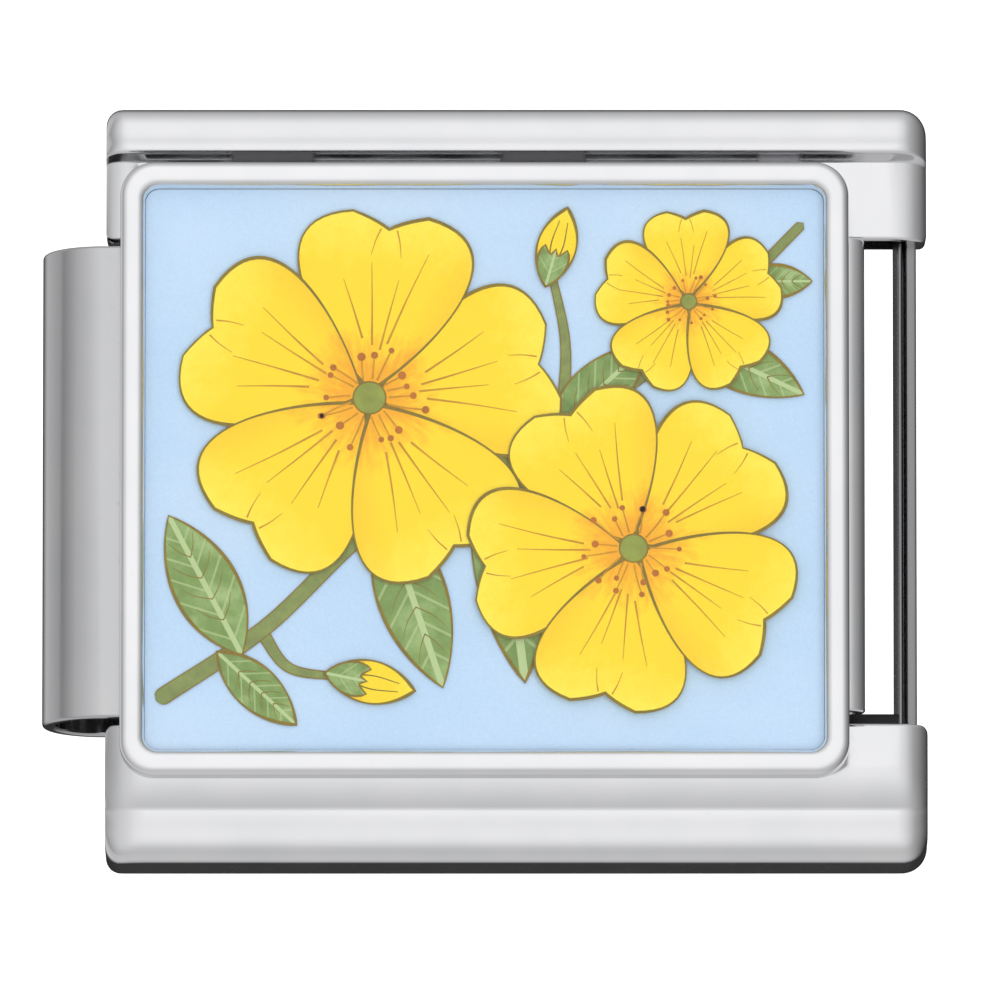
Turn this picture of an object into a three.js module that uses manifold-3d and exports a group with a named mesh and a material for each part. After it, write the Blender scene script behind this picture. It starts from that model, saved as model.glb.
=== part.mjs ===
// Link of a modular stainless-steel charm bracelet, face up.
// Units are millimetres. X runs along the bracelet, Y across the band, Z out of the framed face.
// The origin is under the middle of the link, on the surface that its lower sleeve lies on.

import * as THREE from "three";
import { mergeVertices } from "three/addons/utils/BufferGeometryUtils.js";
import Module from "manifold-3d";

// Whole link
const LENGTH = 10.42;
const BAND_WIDTH = 9;
const LEFT = -LENGTH / 2;
const RIGHT = LENGTH / 2;
const JOIN_GAP = 0.02;

// Lower sleeve: a flat tube whose two folds are full round, with a mouth that the face covers
const SLEEVE_WIDTH = 5.64;
const LOWER_SHEET = 0.15;
const LOWER_HEIGHT = 1.45;
const LOWER_RIGHT = 4.2;
const FOLD_RADIUS = LOWER_HEIGHT / 2;
const MOUTH_LEFT = -3.75;
const MOUTH_RIGHT = -3.1;

// Upper sleeve: a thinner flat tube under the face
const UPPER_SHEET = 0.12;
const UPPER_BOTTOM = 1.51;
const UPPER_HEIGHT = 0.5;
const UPPER_TOP = UPPER_BOTTOM + UPPER_HEIGHT;
const UPPER_LEFT = -4.2;
const UPPER_RIGHT = 4.47;

// Connector clips: two flat staples that hold the sleeves together at their right end
const CLIP_AXIS_X = LOWER_RIGHT - FOLD_RADIUS;
const CLIP_WIDTH = 0.5;
const CLIP_SHEET = 0.12;
const CLIP_LEG = 1.7;
const CLIP_WEB_INNER = SLEEVE_WIDTH / 2 + 0.05;
const CLIP_UPPER_LEG = UPPER_BOTTOM + UPPER_SHEET + JOIN_GAP + CLIP_SHEET / 2;
const CLIP_LOWER_LEG = FOLD_RADIUS;
const STRETCH = 1.5;

// Wave springs: corrugated strips that push on the clips' legs
const SPRING_SHEET = 0.07;
const SPRING_WIDTH = 5;
const SPRING_CLEARANCE = 0.04;
const UPPER_SPRING_WAVES = 6;
const LOWER_SPRING_WAVES = 4;
const LOWER_SPRING_LEFT = -4.35;

// Hook frame: two side wings in channel section and the hook bar between their right ends
const WING_LEFT = -4.46;
const WING_INNER = 2.91;
const WING_OUTER = BAND_WIDTH / 2;
const WING_BOTTOM = 0.05;
const WING_SHEET = 0.16;
const WING_END_WALL = 0.26;
const CREASE_FROM_EDGE = 0.58;
const CREASE_WIDTH = 0.06;
const LIP_ROUND = 0.05;
const LIP_TUCK = 0.11;
const SHOULDER_RADIUS = 0.3;
const WALL_FOOT = 0.4;
const WALL_TUCK = 0.35;
const WING_END_ROUND = 0.35;
const WING_START_ROUND = 0.16;
// Heights of a wing's top: its outer band, the band's edge at the crease, the crease and the roof inside it.
// The far wing steps down steeply from the crease, and the near wing rises gently.
const FAR_WING = { band: 1.45, edge: 1.5, crease: 1.47, roof: 1.33, run: 0.09, ease: 0.75, top: 1.5 };
const NEAR_WING = { band: 1.41, edge: 1.44, crease: 1.44, roof: 1.6, run: 0.55, ease: 0.5, top: 1.6 };
const BAR_LEFT = 4.82;
const BAR_RIGHT = 5.09;
const BAR_BOTTOM = 0.33;
const BAR_TOP = 0.97;
const BAR_INNER_LEAF = 0.1;
const BAR_OUTER_LEAF = 0.13;
const TAB_LENGTH = 1;
const TAB_PLACES = [-3, 0.2];

// Face tray: a stamped pan with a rounded rim
const TRAY_LENGTH = 8.56;
const TRAY_WIDTH = 7.3;
const TRAY_CORNER = 0.4;
const TRAY_BOTTOM = UPPER_TOP + JOIN_GAP;
const TRAY_FLOOR = 0.09;
const RIM_TOP = 2.42;
const RIM_WIDTH = 0.275;
const RIM_ROUND = 0.09;
const INNER_CORNER = TRAY_CORNER - RIM_WIDTH + 0.04;

// Picture under the clear cover, in thin layers
const LAYER = 0.03;
const LAYER_GAP = 0.01;
const LAYER_STEP = LAYER + LAYER_GAP;
const PLATE_BOTTOM = TRAY_BOTTOM + TRAY_FLOOR + JOIN_GAP;
const PLATE_THICKNESS = 0.05;
const BRANCH_BOTTOM = PLATE_BOTTOM + PLATE_THICKNESS + LAYER_GAP;
const BLOSSOM_BOTTOM = BRANCH_BOTTOM + LAYER_STEP;
const COVER_BOTTOM = BLOSSOM_BOTTOM + 2 * LAYER_STEP;
const COVER_TOP = 2.44;
const COVER_ROUND = 0.04;
const RECESS_LENGTH = TRAY_LENGTH - 2 * RIM_WIDTH - 2 * JOIN_GAP;
const RECESS_WIDTH = TRAY_WIDTH - 2 * RIM_WIDTH - 2 * JOIN_GAP;

// Picture: a twig from the lower left to the upper right, with open blossoms, buds and leaves
const TWIG_WIDTH = 0.15;
const TWIG_ROUTE = [
  [-3.85, -2.75],
  [-2.6, -1.9],
  [-1.2, -0.6],
  [0.6, 0.35],
  [2.1, 1.3],
  [3.75, 2.95],
];
const BLOSSOMS = [
  { name: "printed_blossom_large", at: [-1.35, 0.85], radius: 2.25, petals: 5, turn: 0.2, layer: 0 },
  { name: "printed_blossom_middle", at: [1.75, -0.95], radius: 1.95, petals: 5, turn: 0.75, layer: 1 },
  { name: "printed_blossom_small", at: [2.4, 2], radius: 1.1, petals: 5, turn: 0.35, layer: 0 },
];
const BUDS = [
  { name: "printed_bud_lower", at: [-1.75, -2.45], length: 0.95, width: 0.5, angle: -0.2 },
  { name: "printed_bud_upper", at: [0.75, 2.3], length: 0.85, width: 0.45, angle: 1.3 },
];
const BUD_STALKS = [
  [[-2.62, -1.92], [-2.3, -2.35], [-1.65, -2.47]],
  [[0.9, 0.5], [0.95, 1.5], [0.78, 2.4]],
];
const LEAVES = [
  { at: [-2.9, -2.1], length: 1.75, width: 0.75, angle: 2.05 },
  { at: [-3.05, -2.25], length: 1.15, width: 0.5, angle: -0.75 },
  { at: [-1.15, -0.6], length: 2.1, width: 0.8, angle: -1.25 },
  { at: [0.85, 0.5], length: 1.45, width: 0.62, angle: 0.75 },
  { at: [0.15, 0.15], length: 2.7, width: 0.85, angle: -1.45 },
  { at: [2.4, 1.55], length: 1.5, width: 0.6, angle: -0.45 },
  { at: [3.1, 2.25], length: 0.75, width: 0.38, angle: 0 },
];

const STEEL = { color: 0xd9dadb, roughness: 0.22, metalness: 1 };
const SPRING_STEEL = { color: 0xb9bbbe, roughness: 0.35, metalness: 1 };
const SKY_PRINT = { color: 0xbfd9f2, roughness: 0.45, metalness: 0 };
const LEAF_PRINT = { color: 0x84a35c, roughness: 0.45, metalness: 0 };
const PETAL_PRINT = { color: 0xfbd743, roughness: 0.45, metalness: 0 };
const CLEAR_RESIN = { color: 0xf4f8fb, roughness: 0.03, metalness: 0, opacity: 0.25 };

const wasm = await Module();
wasm.setup();

// A three.js geometry as a solid that can be joined and cut
function solid(geometry) {
  const bare = geometry.clone();
  bare.deleteAttribute("normal");
  bare.deleteAttribute("uv");
  const merged = mergeVertices(bare, 1e-4);
  const triVerts = merged.index.array;
  const vertProperties = merged.attributes.position.array;
  return new wasm.Manifold(new wasm.Mesh({ numProp: 3, vertProperties, triVerts }));
}

// A joined or cut solid as a three.js geometry
function geometryOf(body) {
  const mesh = body.getMesh();
  const geometry = new THREE.BufferGeometry();
  geometry.setAttribute("position", new THREE.BufferAttribute(mesh.vertProperties, 3));
  geometry.setIndex(new THREE.BufferAttribute(mesh.triVerts, 1));
  geometry.computeVertexNormals();
  return geometry;
}

function piece(name, geometry, finish) {
  const material = new THREE.MeshStandardMaterial(finish);
  material.transparent = finish.opacity !== undefined;
  const mesh = new THREE.Mesh(geometry, material);
  mesh.name = name;
  return mesh;
}

function polygon(points) {
  return new THREE.Shape(points.map(([x, y]) => new THREE.Vector2(x, y)));
}

// A rectangle from (x0, y0) to (x1, y1), with a radius for each corner, anticlockwise from (x0, y0)
function roundedRectangle(x0, y0, x1, y1, [r00, r10, r11, r01]) {
  const shape = new THREE.Shape();
  shape.moveTo(x0 + r00, y0);
  shape.lineTo(x1 - r10, y0);
  shape.absarc(x1 - r10, y0 + r10, r10, -Math.PI / 2, 0);
  shape.lineTo(x1, y1 - r11);
  shape.absarc(x1 - r11, y1 - r11, r11, 0, Math.PI / 2);
  shape.lineTo(x0 + r01, y1);
  shape.absarc(x0 + r01, y1 - r01, r01, Math.PI / 2, Math.PI);
  shape.lineTo(x0, y0 + r00);
  shape.absarc(x0 + r00, y0 + r00, r00, Math.PI, 1.5 * Math.PI);
  return shape;
}

function centredRectangle(length, width, radius) {
  return roundedRectangle(-length / 2, -width / 2, length / 2, width / 2, Array(4).fill(radius));
}

// A plan outline (X, Y) as a plate from z0 to z1
function plate(shape, z0, z1, curveSegments = 6) {
  const options = { depth: z1 - z0, bevelEnabled: false, curveSegments };
  return new THREE.ExtrudeGeometry(shape, options).translate(0, 0, z0);
}

// A side outline (X, Z) run across the band from y0 to y1
function acrossBand(shape, y0, y1, curveSegments = 10) {
  const options = { depth: y1 - y0, bevelEnabled: false, curveSegments };
  const geometry = new THREE.ExtrudeGeometry(shape, options);
  return geometry.rotateX(Math.PI / 2).translate(0, y1, 0);
}

// An end outline (Y, Z) run along the bracelet from x0 to x1
function alongBracelet(shape, x0, x1, curveSegments = 8) {
  const options = { depth: x1 - x0, bevelEnabled: false, curveSegments };
  const turn = new THREE.Matrix4().makeBasis(
    new THREE.Vector3(0, 1, 0),
    new THREE.Vector3(0, 0, 1),
    new THREE.Vector3(1, 0, 0),
  );
  return new THREE.ExtrudeGeometry(shape, options).applyMatrix4(turn).translate(x0, 0, 0);
}

function block(x0, x1, y0, y1, z0, z1) {
  const box = new THREE.BoxGeometry(x1 - x0, y1 - y0, z1 - z0);
  return box.translate((x0 + x1) / 2, (y0 + y1) / 2, (z0 + z1) / 2);
}

// Section of a flat tube with full-round folds: the outside loop, then the inside loop
function lowerSleeveSection() {
  const middle = FOLD_RADIUS;
  const inner = FOLD_RADIUS - LOWER_SHEET;
  const leftFold = LEFT + FOLD_RADIUS;
  const rightFold = LOWER_RIGHT - FOLD_RADIUS;
  const shape = new THREE.Shape();
  shape.moveTo(MOUTH_LEFT, LOWER_HEIGHT);
  shape.absarc(leftFold, middle, FOLD_RADIUS, Math.PI / 2, 1.5 * Math.PI);
  shape.absarc(rightFold, middle, FOLD_RADIUS, -Math.PI / 2, Math.PI / 2);
  shape.lineTo(MOUTH_RIGHT, LOWER_HEIGHT);
  shape.lineTo(MOUTH_RIGHT, LOWER_HEIGHT - LOWER_SHEET);
  shape.absarc(rightFold, middle, inner, Math.PI / 2, -Math.PI / 2, true);
  shape.absarc(leftFold, middle, inner, 1.5 * Math.PI, Math.PI / 2, true);
  shape.lineTo(MOUTH_LEFT, LOWER_HEIGHT - LOWER_SHEET);
  return shape;
}

function lowerSleeve() {
  const half = SLEEVE_WIDTH / 2;
  return piece("lower_sleeve", acrossBand(lowerSleeveSection(), -half, half), STEEL);
}

function upperSleeve() {
  const half = SLEEVE_WIDTH / 2;
  const radius = UPPER_HEIGHT / 2;
  const section = roundedRectangle(
    UPPER_LEFT,
    UPPER_BOTTOM,
    UPPER_RIGHT,
    UPPER_TOP,
    Array(4).fill(radius),
  );
  const bore = roundedRectangle(
    UPPER_LEFT + UPPER_SHEET,
    UPPER_BOTTOM + UPPER_SHEET,
    UPPER_RIGHT - UPPER_SHEET,
    UPPER_TOP - UPPER_SHEET,
    Array(4).fill(radius - UPPER_SHEET),
  );
  section.holes.push(bore);
  return piece("upper_sleeve", acrossBand(section, -half, half, 6), STEEL);
}

// A staple seen along the bracelet: a leg in each sleeve, and the web past the sleeves' ends
function connectorClip(name, side) {
  const tip = CLIP_WEB_INNER - CLIP_LEG;
  const outer = CLIP_WEB_INNER + CLIP_SHEET;
  const top = CLIP_UPPER_LEG + CLIP_SHEET / 2;
  const bottom = CLIP_LOWER_LEG - CLIP_SHEET / 2;
  const outline = [
    [tip, bottom],
    [outer, bottom],
    [outer, top],
    [tip, top],
    [tip, top - CLIP_SHEET],
    [CLIP_WEB_INNER, top - CLIP_SHEET],
    [CLIP_WEB_INNER, bottom + CLIP_SHEET],
    [tip, bottom + CLIP_SHEET],
  ];
  const shape = polygon(outline.map(([y, z]) => [y * side, z]));
  const x0 = CLIP_AXIS_X - CLIP_WIDTH / 2;
  return piece(name, alongBracelet(shape, x0, x0 + CLIP_WIDTH), SPRING_STEEL);
}

// A corrugated strip from x0 to x1 whose waves lie between z0 and z1, starting at startAngle
function waveSpring(name, { x0, x1, z0, z1, waves, startAngle }) {
  const stepsPerWave = 12;
  const steps = waves * stepsPerWave;
  const middle = (z0 + z1) / 2;
  const swing = (z1 - z0 - SPRING_SHEET) / 2;
  const lower = [];
  const upper = [];
  for (let i = 0; i <= steps; i++) {
    const x = x0 + ((x1 - x0) * i) / steps;
    const z = middle + swing * Math.sin(startAngle + (2 * Math.PI * i) / stepsPerWave);
    lower.push([x, z - SPRING_SHEET / 2]);
    upper.unshift([x, z + SPRING_SHEET / 2]);
  }
  const half = SPRING_WIDTH / 2;
  return piece(name, acrossBand(polygon([...lower, ...upper]), -half, half), SPRING_STEEL);
}

// Both ends of the upper spring lie on the sleeve's floor, level with the clips' upper legs
function upperSpring() {
  return waveSpring("upper_wave_spring", {
    x0: UPPER_LEFT + UPPER_SHEET + UPPER_HEIGHT / 4,
    x1: CLIP_AXIS_X - CLIP_WIDTH / 2 - SPRING_CLEARANCE,
    z0: UPPER_BOTTOM + UPPER_SHEET + JOIN_GAP,
    z1: UPPER_TOP - UPPER_SHEET - JOIN_GAP,
    waves: UPPER_SPRING_WAVES,
    startAngle: -Math.PI / 2,
  });
}

// Both ends of the lower spring are at mid-height: one meets the clips, one a neighbour's bar
function lowerSpring() {
  return waveSpring("lower_wave_spring", {
    x0: LOWER_SPRING_LEFT,
    x1: CLIP_AXIS_X - CLIP_WIDTH / 2 - SPRING_CLEARANCE,
    z0: LOWER_SHEET + JOIN_GAP,
    z1: LOWER_HEIGHT - LOWER_SHEET - JOIN_GAP,
    waves: LOWER_SPRING_WAVES,
    startAngle: 0,
  });
}

const wingHeights = (side) => (side > 0 ? FAR_WING : NEAR_WING);

// Outside of a wing seen along the bracelet: its foot is tucked in, and a band runs outside the crease
function wingSection(side) {
  const crease = WING_OUTER - CREASE_FROM_EDGE;
  const heights = wingHeights(side);
  const shape = new THREE.Shape();
  const at = (y) => y * side;
  shape.moveTo(at(WING_INNER + LIP_TUCK), WING_BOTTOM);
  shape.lineTo(at(WING_OUTER - WALL_TUCK), WING_BOTTOM);
  shape.quadraticCurveTo(at(WING_OUTER), WING_BOTTOM, at(WING_OUTER), WALL_FOOT);
  shape.lineTo(at(WING_OUTER), heights.band - 1.3 * SHOULDER_RADIUS);
  const shoulder = [at(WING_OUTER - SHOULDER_RADIUS), heights.band];
  shape.quadraticCurveTo(at(WING_OUTER), heights.band, ...shoulder);
  shape.lineTo(at(crease + CREASE_WIDTH), heights.edge);
  shape.lineTo(at(crease), heights.crease);
  const roofEdge = [at(crease - heights.run), heights.roof];
  shape.quadraticCurveTo(at(crease - heights.run * heights.ease), heights.roof, ...roofEdge);
  shape.lineTo(at(WING_INNER + LIP_ROUND), heights.roof);
  shape.lineTo(at(WING_INNER), heights.roof - LIP_ROUND);
  return shape;
}

// Hollow of a wing, open towards the sleeves
function wingHollow(side) {
  const open = WING_INNER - 0.2;
  const wall = WING_OUTER - WING_SHEET;
  const floor = WING_BOTTOM + WING_SHEET;
  const crease = WING_OUTER - CREASE_FROM_EDGE;
  const { edge, roof, run } = wingHeights(side);
  const bandRoof = edge - WING_SHEET;
  const outline = [
    [open, floor],
    [wall - WALL_TUCK, floor],
    [wall, WALL_FOOT],
    [wall, bandRoof - 0.4],
    [wall - 0.2, bandRoof - 0.1],
    [crease + 0.07, bandRoof - 0.04],
    [crease - run, roof - WING_SHEET],
    [open, roof - WING_SHEET],
  ];
  const shape = polygon(outline.map(([y, z]) => [y * side, z]));
  return alongBracelet(shape, WING_LEFT + WING_SHEET, RIGHT - WING_END_WALL);
}

// Cut in a wing's top beside the clip, as long as the clip's travel
function clipNotch(side) {
  const clearance = 0.05;
  const half = CLIP_WIDTH / 2 + 2 * clearance;
  const [y0, y1] = [WING_INNER - clearance, CLIP_WEB_INNER + CLIP_SHEET + clearance]
    .map((y) => y * side)
    .sort((a, b) => a - b);
  const x0 = CLIP_AXIS_X - STRETCH - half;
  const { roof } = wingHeights(side);
  return block(x0, CLIP_AXIS_X + half, y0, y1, roof - 2 * WING_SHEET, roof + clearance);
}

function wing(side) {
  const [low, high] = side > 0 ? [WING_INNER, WING_OUTER] : [-WING_OUTER, -WING_INNER];
  const startCorner = 0.18;
  const endCorner = 0.3;
  const innerCorner = 0.08;
  const outerRadii = [startCorner, endCorner, endCorner, startCorner];
  const radii = outerRadii.map((r, i) => (i < 2 === side < 0 ? r : innerCorner));
  const plan = roundedRectangle(WING_LEFT, low, RIGHT, high, radii);
  const lift = 0.002;
  const { top } = wingHeights(side);
  const profile = roundedRectangle(WING_LEFT, WING_BOTTOM - lift, RIGHT, top + lift, [
    0.1,
    0.1,
    WING_END_ROUND,
    WING_START_ROUND,
  ]);
  const body = solid(alongBracelet(wingSection(side), WING_LEFT - 1, RIGHT + 1))
    .intersect(solid(plate(plan, -1, top + 1)))
    .intersect(solid(acrossBand(profile, low - 1, high + 1)))
    .subtract(solid(wingHollow(side)))
    .subtract(solid(clipNotch(side)));
  return TAB_PLACES.reduce((sum, x) => sum.add(solid(standoffTab(x, side))), body);
}

// A tab on the wing's inner edge that carries the tray
function standoffTab(x, side) {
  const inner = WING_INNER + 0.12;
  const [y0, y1] = [inner * side, (inner + WING_SHEET) * side].sort((a, b) => a - b);
  const foot = wingHeights(side).roof - WING_SHEET / 2;
  return block(x, x + TAB_LENGTH, y0, y1, foot, TRAY_BOTTOM - JOIN_GAP);
}

// The hook bar: a hemmed strip, open upwards, whose ends run into the wings' end walls
function hookBar() {
  const fold = BAR_INNER_LEAF;
  const shape = polygon([
    [BAR_LEFT, BAR_BOTTOM + fold],
    [BAR_LEFT + fold, BAR_BOTTOM],
    [BAR_RIGHT - fold, BAR_BOTTOM],
    [BAR_RIGHT, BAR_BOTTOM + fold],
    [BAR_RIGHT, BAR_TOP],
    [BAR_RIGHT - BAR_OUTER_LEAF, BAR_TOP],
    [BAR_RIGHT - BAR_OUTER_LEAF, BAR_BOTTOM + 2 * fold],
    [BAR_LEFT + BAR_INNER_LEAF, BAR_BOTTOM + 2 * fold],
    [BAR_LEFT + BAR_INNER_LEAF, BAR_TOP],
    [BAR_LEFT, BAR_TOP],
  ]);
  const reach = WING_INNER + 0.2;
  return solid(acrossBand(shape, -reach, reach));
}

function hookFrame() {
  const body = wing(1).add(wing(-1)).add(hookBar());
  return piece("hook_frame", geometryOf(body), STEEL);
}

// A floor plate and a rim whose upper edges are rounded
function faceTray() {
  const innerLength = TRAY_LENGTH - 2 * RIM_WIDTH;
  const innerWidth = TRAY_WIDTH - 2 * RIM_WIDTH;
  const round = 2 * RIM_ROUND;
  const outside = centredRectangle(TRAY_LENGTH, TRAY_WIDTH, TRAY_CORNER);
  const ring = centredRectangle(TRAY_LENGTH - round, TRAY_WIDTH - round, TRAY_CORNER - RIM_ROUND);
  ring.holes.push(centredRectangle(innerLength + round, innerWidth + round, INNER_CORNER + RIM_ROUND));
  const rim = new THREE.ExtrudeGeometry(ring, {
    depth: RIM_TOP - TRAY_BOTTOM - round,
    bevelThickness: RIM_ROUND,
    bevelSize: RIM_ROUND,
    bevelSegments: 3,
    curveSegments: 6,
  }).translate(0, 0, TRAY_BOTTOM + RIM_ROUND);
  const floor = plate(outside, TRAY_BOTTOM, TRAY_BOTTOM + TRAY_FLOOR);
  return piece("face_tray", geometryOf(solid(floor).add(solid(rim))), STEEL);
}

function picturePlate() {
  const outline = centredRectangle(RECESS_LENGTH, RECESS_WIDTH, INNER_CORNER);
  const top = PLATE_BOTTOM + PLATE_THICKNESS;
  return piece("picture_plate", plate(outline, PLATE_BOTTOM, top), SKY_PRINT);
}

function clearCover() {
  const outline = centredRectangle(
    RECESS_LENGTH - 2 * COVER_ROUND,
    RECESS_WIDTH - 2 * COVER_ROUND,
    INNER_CORNER - COVER_ROUND,
  );
  const cover = new THREE.ExtrudeGeometry(outline, {
    depth: COVER_TOP - COVER_BOTTOM - 2 * COVER_ROUND,
    bevelThickness: COVER_ROUND,
    bevelSize: COVER_ROUND,
    bevelSegments: 2,
    curveSegments: 5,
  });
  return piece("clear_cover", cover.translate(0, 0, COVER_BOTTOM + COVER_ROUND), CLEAR_RESIN);
}

// A pointed leaf that grows from its stalk end at (x, y), at an angle to the X axis
function leafOutline({ at: [x, y], length, width, angle }) {
  const along = (u, v) => [
    x + u * Math.cos(angle) - v * Math.sin(angle),
    y + u * Math.sin(angle) + v * Math.cos(angle),
  ];
  const stalk = along(-0.12, 0);
  const tip = along(length, 0);
  const belly = (side) => along(0.25 * length, side * 0.75 * width);
  const shoulder = (side) => along(0.7 * length, side * 0.6 * width);
  const shape = new THREE.Shape();
  shape.moveTo(...stalk);
  shape.bezierCurveTo(...belly(1), ...shoulder(1), ...tip);
  shape.bezierCurveTo(...shoulder(-1), ...belly(-1), ...stalk);
  return shape;
}

// A line along a route, wider at its foot than at its tip
function stalkOutline(points, width) {
  const route = new THREE.CatmullRomCurve3(points.map(([x, y]) => new THREE.Vector3(x, y, 0)));
  const steps = 8 * (points.length - 1);
  const left = [];
  const right = [];
  for (let i = 0; i <= steps; i++) {
    const t = i / steps;
    const point = route.getPoint(t);
    const way = route.getTangent(t);
    const half = (width / 2) * (1.2 - 0.6 * t);
    left.push([point.x - way.y * half, point.y + way.x * half]);
    right.unshift([point.x + way.y * half, point.y - way.x * half]);
  }
  return polygon([...left, ...right]);
}

function printedBranch() {
  const layer = (outline) => solid(plate(outline, BRANCH_BOTTOM, BRANCH_BOTTOM + LAYER, 8));
  const outlines = [
    ...BUD_STALKS.map((points) => stalkOutline(points, TWIG_WIDTH * 0.7)),
    ...LEAVES.map(leafOutline),
  ];
  const twig = layer(stalkOutline(TWIG_ROUTE, TWIG_WIDTH));
  const body = outlines.reduce((sum, outline) => sum.add(layer(outline)), twig);
  return piece("printed_branch", geometryOf(body), LEAF_PRINT);
}

function printedBud(spec) {
  const outline = leafOutline(spec);
  return piece(spec.name, plate(outline, BLOSSOM_BOTTOM, BLOSSOM_BOTTOM + LAYER, 8), PETAL_PRINT);
}

// A broad petal that grows from (x, y) at an angle, with a notch in its round tip
function petalOutline([x, y], angle, radius, halfAngle) {
  const point = (r, a) => [
    x + r * radius * Math.cos(angle + a * halfAngle),
    y + r * radius * Math.sin(angle + a * halfAngle),
  ];
  const base = point(0.04, 0);
  const shape = new THREE.Shape();
  shape.moveTo(...base);
  shape.bezierCurveTo(...point(0.4, 1.3), ...point(1.16, 1.12), ...point(1, 0.32));
  shape.quadraticCurveTo(...point(0.95, 0.12), ...point(0.9, 0));
  shape.quadraticCurveTo(...point(0.95, -0.12), ...point(1, -0.32));
  shape.bezierCurveTo(...point(1.16, -1.12), ...point(0.4, -1.3), ...base);
  return shape;
}

// An open blossom: petals that overlap their neighbours a little, about a round middle
function printedBlossom({ name, at: [x, y], radius, petals, turn, layer }) {
  const bottom = BLOSSOM_BOTTOM + layer * LAYER_STEP;
  const middle = new THREE.CylinderGeometry(radius * 0.3, radius * 0.3, LAYER, 20);
  let body = solid(middle.rotateX(Math.PI / 2).translate(x, y, bottom + LAYER / 2));
  for (let i = 0; i < petals; i++) {
    const angle = turn + (2 * Math.PI * i) / petals;
    const petal = petalOutline([x, y], angle, radius, Math.PI / petals);
    body = body.add(solid(plate(petal, bottom, bottom + LAYER, 8)));
  }
  return piece(name, geometryOf(body), PETAL_PRINT);
}

const link = new THREE.Group();
link.add(lowerSleeve());
link.add(lowerSpring());
link.add(connectorClip("connector_clip_far", 1));
link.add(connectorClip("connector_clip_near", -1));
link.add(upperSleeve());
link.add(upperSpring());
link.add(hookFrame());
link.add(faceTray());
link.add(picturePlate());
link.add(printedBranch());
BUDS.forEach((spec) => link.add(printedBud(spec)));
BLOSSOMS.forEach((spec) => link.add(printedBlossom(spec)));
link.add(clearCover());

export default link;
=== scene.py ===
"""Looks of a charm bracelet link: formed steel sheet, a framed print and its clear cover.

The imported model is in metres. Sizes below are in millimetres, and MM turns them into metres.
"""

import math
import random

import bmesh
import bpy
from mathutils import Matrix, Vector
from mathutils.geometry import interpolate_bezier


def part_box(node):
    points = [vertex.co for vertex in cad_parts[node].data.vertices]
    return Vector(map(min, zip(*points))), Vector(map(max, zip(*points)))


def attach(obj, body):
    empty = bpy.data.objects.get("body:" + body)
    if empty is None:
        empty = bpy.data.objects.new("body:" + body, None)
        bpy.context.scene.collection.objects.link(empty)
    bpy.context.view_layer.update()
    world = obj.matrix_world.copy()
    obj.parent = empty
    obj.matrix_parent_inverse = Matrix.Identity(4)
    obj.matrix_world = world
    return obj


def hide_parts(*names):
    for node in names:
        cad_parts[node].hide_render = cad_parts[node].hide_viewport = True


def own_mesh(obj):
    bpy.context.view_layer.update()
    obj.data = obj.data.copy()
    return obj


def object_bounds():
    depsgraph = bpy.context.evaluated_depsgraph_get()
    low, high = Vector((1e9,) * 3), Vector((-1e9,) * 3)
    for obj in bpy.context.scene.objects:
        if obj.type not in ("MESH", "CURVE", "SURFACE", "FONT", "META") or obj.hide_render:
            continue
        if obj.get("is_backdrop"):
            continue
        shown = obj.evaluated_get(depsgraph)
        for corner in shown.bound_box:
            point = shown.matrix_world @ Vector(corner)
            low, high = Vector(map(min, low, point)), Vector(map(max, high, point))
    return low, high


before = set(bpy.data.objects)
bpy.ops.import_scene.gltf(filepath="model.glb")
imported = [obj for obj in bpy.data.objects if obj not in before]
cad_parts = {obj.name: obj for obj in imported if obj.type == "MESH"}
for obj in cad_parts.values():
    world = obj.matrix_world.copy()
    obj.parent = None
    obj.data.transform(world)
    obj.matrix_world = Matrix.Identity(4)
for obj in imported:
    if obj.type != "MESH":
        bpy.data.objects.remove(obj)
cad_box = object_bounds()
MM = 0.001

# Formed sheet
LOWER_SHEET = 0.15
UPPER_SHEET = 0.12
CLIP_SHEET = 0.12
SPRING_SHEET = 0.07
MOUTH_LEFT = -3.75
MOUTH_RIGHT = -3.1

# Hook frame
WING_INNER = 2.91
WING_BOTTOM = 0.05
WING_SHEET = 0.16
WING_END_WALL = 0.26
WALL_FOOT = 0.4
WALL_TUCK = 0.35
SHOULDER = 0.3
CREASE_FROM_EDGE = 0.58
LIP_ROUND = 0.05
LIP_TUCK = 0.11
# A wing's top: heights of its outer band, the band's edge at the crease, the crease and the roof inside it,
# the run and ease of the slope from crease to roof, and how far along and how deep the left end falls
FAR_WING = {
    "band": 1.45, "edge": 1.5, "crease": 1.47, "roof": 1.33, "run": 0.09, "ease": 0.75,
    "end_reach": 0.25, "end_fall": 0.13,
}
NEAR_WING = {
    "band": 1.41, "edge": 1.44, "crease": 1.44, "roof": 1.6, "run": 0.55, "ease": 0.5,
    "end_reach": 0.48, "end_fall": 0.22,
}
# Places along a wing's end, and the radii of its rolled corners: above, outside and inside
END_STEPS = [0, 0.004, 0.016, 0.036, 0.065, 0.1, 0.145, 0.2, 0.27, 0.36, 0.48]
LEFT_END_OUTSIDE = 0.18
RIGHT_END_ABOVE, RIGHT_END_OUTSIDE = 0.35, 0.3
END_INSIDE = 0.08
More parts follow.
